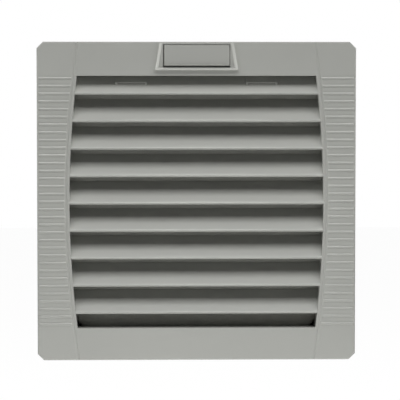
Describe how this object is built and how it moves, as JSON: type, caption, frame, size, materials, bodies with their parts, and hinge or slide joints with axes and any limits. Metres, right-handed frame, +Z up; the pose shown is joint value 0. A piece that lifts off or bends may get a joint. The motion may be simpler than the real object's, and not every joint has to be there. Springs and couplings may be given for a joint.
{
  "type": "cabinet filter fan",
  "caption": "Square snap-in cabinet filter fan: louvred bottom-hinged cover with a push latch over a filter mat, and an axial fan with a wire guard behind.",
  "frame": {"origin": "centre of the square panel cut-out, on the panel's outer face, where the sealing strip's rear face lies", "axes": "+X to the right seen from the front, +Y into the cabinet along the air flow, +Z up"},
  "size_m": [0.252, 0.111, 0.252],
  "materials": {
    "cover_plastic": "fine-textured light grey moulding",
    "housing_plastic": "light grey moulding",
    "filter_fleece": "loose fleece",
    "seal_foam": "closed-cell foam",
    "clip_plastic": "black moulding",
    "cast_aluminium": "die-cast",
    "laminations": "stacked sheet",
    "copper_wire": "enamelled winding",
    "steel": "zinc plated",
    "black_steel": "black coated",
    "guard_wire": "bright plated wire",
    "terminal_plastic": "off-white moulding",
    "terminal_brass": "plated"
  },
  "bodies": {
    "base": {"housing": "housing_plastic", "flange_gasket": "seal_foam", "filter_mat": "filter_fleece", "filter_grid": "housing_plastic", "clip_pins": "steel", "fan_frame": "cast_aluminium", "motor_bracket": "cast_aluminium", "stator_core": "laminations", "stator_coils": "copper_wire", "front_bearing": "steel", "rear_bearing": "steel", "motor_cap": "cast_aluminium", "finger_guard": "guard_wire", "fan_screws": "steel", "guard_screws": "steel", "guard_nuts": "steel", "terminal_block": "terminal_plastic", "terminal_screws": "terminal_brass", "earth_screw": "terminal_brass"},
    "cover": {"front_cover": "cover_plastic", "hinge_pins": "steel"},
    "latch": {"cover_latch": "cover_plastic"},
    "rotor": {"rotor_cup": "black_steel", "rotor_cage": "laminations", "rotor_shaft": "steel", "shaft_circlip": "steel", "impeller": "black_steel"},
    "clip_tl": {"clip_top_left": "clip_plastic"},
    "clip_tr": {"clip_top_right": "clip_plastic"},
    "clip_bl": {"clip_bottom_left": "clip_plastic"},
    "clip_br": {"clip_bottom_right": "clip_plastic"}
  },
  "joints": [
    {"name": "cover_hinge", "type": "hinge", "parent": "base", "child": "cover", "pos_m": [0, -0.0099, -0.1223], "axis": [1, 0, 0], "range_deg": [0, 90]},
    {"name": "latch_rock", "type": "hinge", "parent": "cover", "child": "latch", "pos_m": [0, -0.0156, 0.121], "axis": [1, 0, 0], "range_deg": [0, 8], "stiffness_Nm_per_rad": 0.06, "springref_deg": -2.86},
    {"name": "impeller_spin", "type": "hinge", "parent": "base", "child": "rotor", "pos_m": [0, 0.05, 0], "axis": [0, 1, 0], "continuous": true},
    {"name": "clip_tl_pivot", "type": "hinge", "parent": "base", "child": "clip_tl", "pos_m": [-0.10269, 0.0266, 0.10269], "axis": [0.7071, 0, 0.7071], "range_deg": [0, 8], "stiffness_Nm_per_rad": 1.5, "springref_deg": -2.86},
    {"name": "clip_tr_pivot", "type": "hinge", "parent": "base", "child": "clip_tr", "pos_m": [0.10269, 0.0266, 0.10269], "axis": [0.7071, 0, -0.7071], "range_deg": [0, 8], "stiffness_Nm_per_rad": 1.5, "springref_deg": -2.86},
    {"name": "clip_bl_pivot", "type": "hinge", "parent": "base", "child": "clip_bl", "pos_m": [-0.10269, 0.0266, -0.10269], "axis": [-0.7071, 0, 0.7071], "range_deg": [0, 8], "stiffness_Nm_per_rad": 1.5, "springref_deg": -2.86},
    {"name": "clip_br_pivot", "type": "hinge", "parent": "base", "child": "clip_br", "pos_m": [0.10269, 0.0266, -0.10269], "axis": [-0.7071, 0, -0.7071], "range_deg": [0, 8], "stiffness_Nm_per_rad": 1.5, "springref_deg": -2.86}
  ]
}
